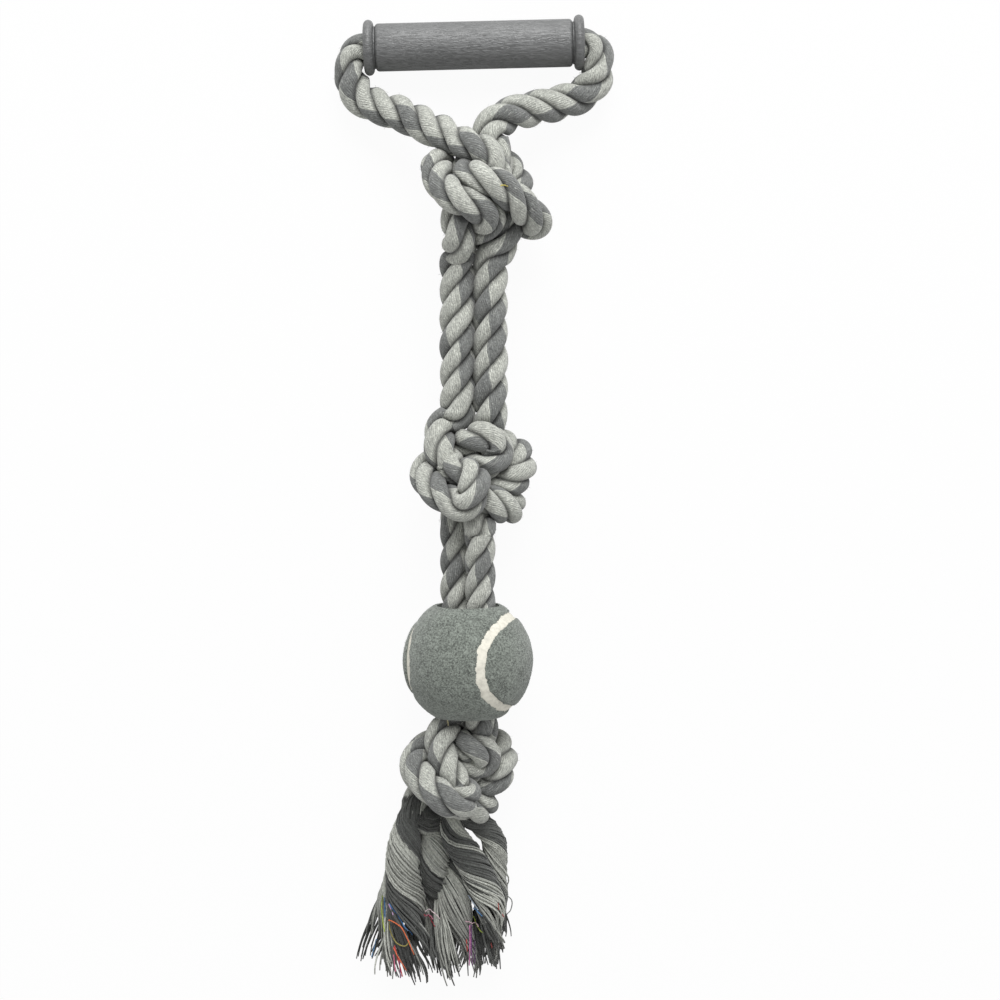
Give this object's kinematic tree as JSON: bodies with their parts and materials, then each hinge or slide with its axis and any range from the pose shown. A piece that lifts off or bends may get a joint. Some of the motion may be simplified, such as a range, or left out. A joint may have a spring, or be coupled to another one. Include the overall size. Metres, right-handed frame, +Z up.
{
  "type": "rope dog toy",
  "caption": "Cotton rope tug toy: a moulded handgrip on a rope loop, three double overhand knots, a felt-covered ball on the rope and frayed strand ends.",
  "frame": {"origin": "on the floor under the middle of the whole toy's box, as it lies", "axes": "+X across the toy along the grip, +Y from the loose strands to the grip, +Z up from the floor"},
  "size_m": [0.1396, 0.4802, 0.065],
  "materials": {
    "grip": "soft sheen with a fine lengthwise grain",
    "rope_cotton": "three-strand laid rope of light and dark yarns",
    "strand_cotton": "loose light and dark yarns",
    "ball_rubber": "matt",
    "ball_felt": "fuzzy felt",
    "seam": "matt cement line"
  },
  "bodies": {
    "top_knot": {"top_knot_left_rope": "rope_cotton", "top_knot_right_rope": "rope_cotton", "upper_leg_left": "rope_cotton", "upper_leg_right": "rope_cotton"},
    "handle_loop": {"rope_loop": "rope_cotton"},
    "grip": {"grip": "grip"},
    "ball_end": {"middle_knot_left_rope": "rope_cotton", "middle_knot_right_rope": "rope_cotton", "lower_leg_left": "rope_cotton", "lower_leg_right": "rope_cotton", "bottom_knot_left_rope": "rope_cotton", "bottom_knot_right_rope": "rope_cotton", "tassel_strand_1": "strand_cotton", "tassel_strand_2": "strand_cotton", "tassel_strand_3": "strand_cotton", "tassel_strand_4": "strand_cotton", "tassel_strand_5": "strand_cotton", "tassel_strand_6": "strand_cotton"},
    "ball": {"ball_core_upper": "ball_rubber", "ball_core_lower": "ball_rubber", "felt_panel_a": "ball_felt", "felt_panel_b": "ball_felt", "seam_line": "seam"}
  },
  "joints": [
    {"name": "handle_fold", "type": "hinge", "parent": "top_knot", "child": "handle_loop", "pos_m": [-0.0002, 0.1761, 0.029], "axis": [1, 0, 0], "range_deg": [-75, 75], "deforming": ["rope_loop"]},
    {"name": "grip_spin", "type": "hinge", "parent": "handle_loop", "child": "grip", "pos_m": [-0.00022, 0.22513, 0.0137], "axis": [0.9997, 0.0244, 0], "continuous": true},
    {"name": "upper_bend", "type": "hinge", "parent": "top_knot", "child": "ball_end", "pos_m": [-0.0002, 0.0798, 0.028], "axis": [1, 0, 0], "range_deg": [-60, 60], "deforming": ["upper_leg_left", "upper_leg_right"]},
    {"name": "ball_slide", "type": "slide", "parent": "ball_end", "child": "ball", "axis": [0, 1, 0], "range_m": [0, 0.03]}
  ]
}
